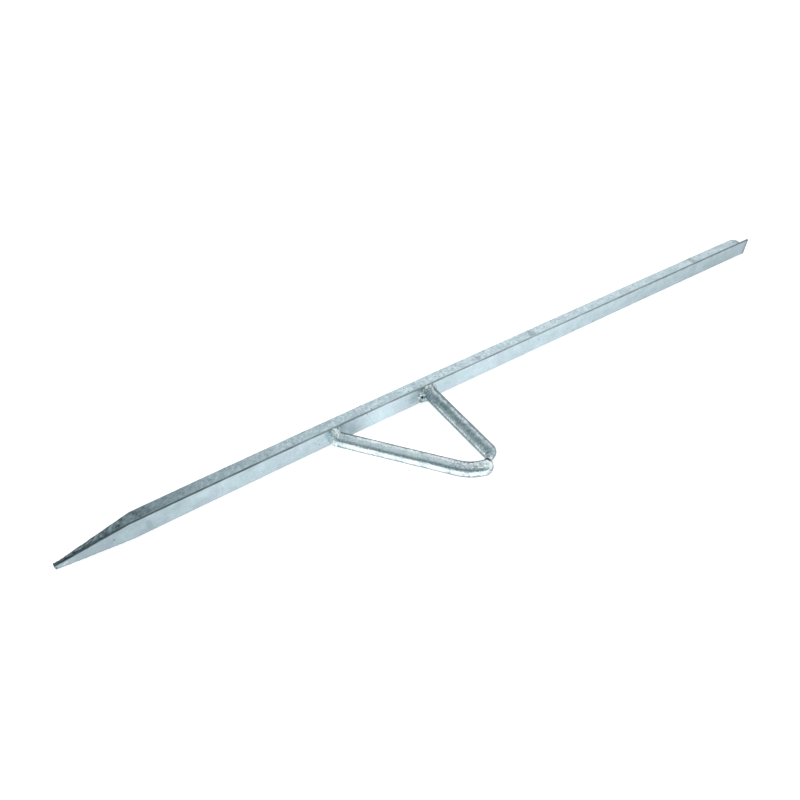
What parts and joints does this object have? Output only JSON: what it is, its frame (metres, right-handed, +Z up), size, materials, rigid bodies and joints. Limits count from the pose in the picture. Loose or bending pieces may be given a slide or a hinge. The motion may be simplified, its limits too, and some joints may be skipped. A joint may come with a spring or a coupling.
{
  "type": "post anchor spike",
  "caption": "Pointed galvanised tee bar with a bent tube step welded to its flange, driven into soft ground by foot as an anchor for a post.",
  "frame": {"origin": "middle of the blunt end of the point, on the outer face of the flange", "axes": "+X along the bar from the point to the head, +Y from the flange to the toe of the web, +Z up, across the flange; the step stands out towards -Y and the spike lies on its side"},
  "size_m": [1.25, 0.1988, 0.03],
  "materials": {
    "zinc_bar": "hot-dip galvanised rolled steel",
    "zinc_tube": "hot-dip galvanised tube",
    "zinc_weld": "hot-dip galvanised weld bead"
  },
  "bodies": {
    "root": {"tee_bar": "zinc_bar", "step_tube": "zinc_tube", "tread_weld_upper": "zinc_weld", "tread_weld_lower": "zinc_weld", "strut_weld_upper": "zinc_weld", "strut_weld_lower": "zinc_weld"}
  },
  "joints": []
}
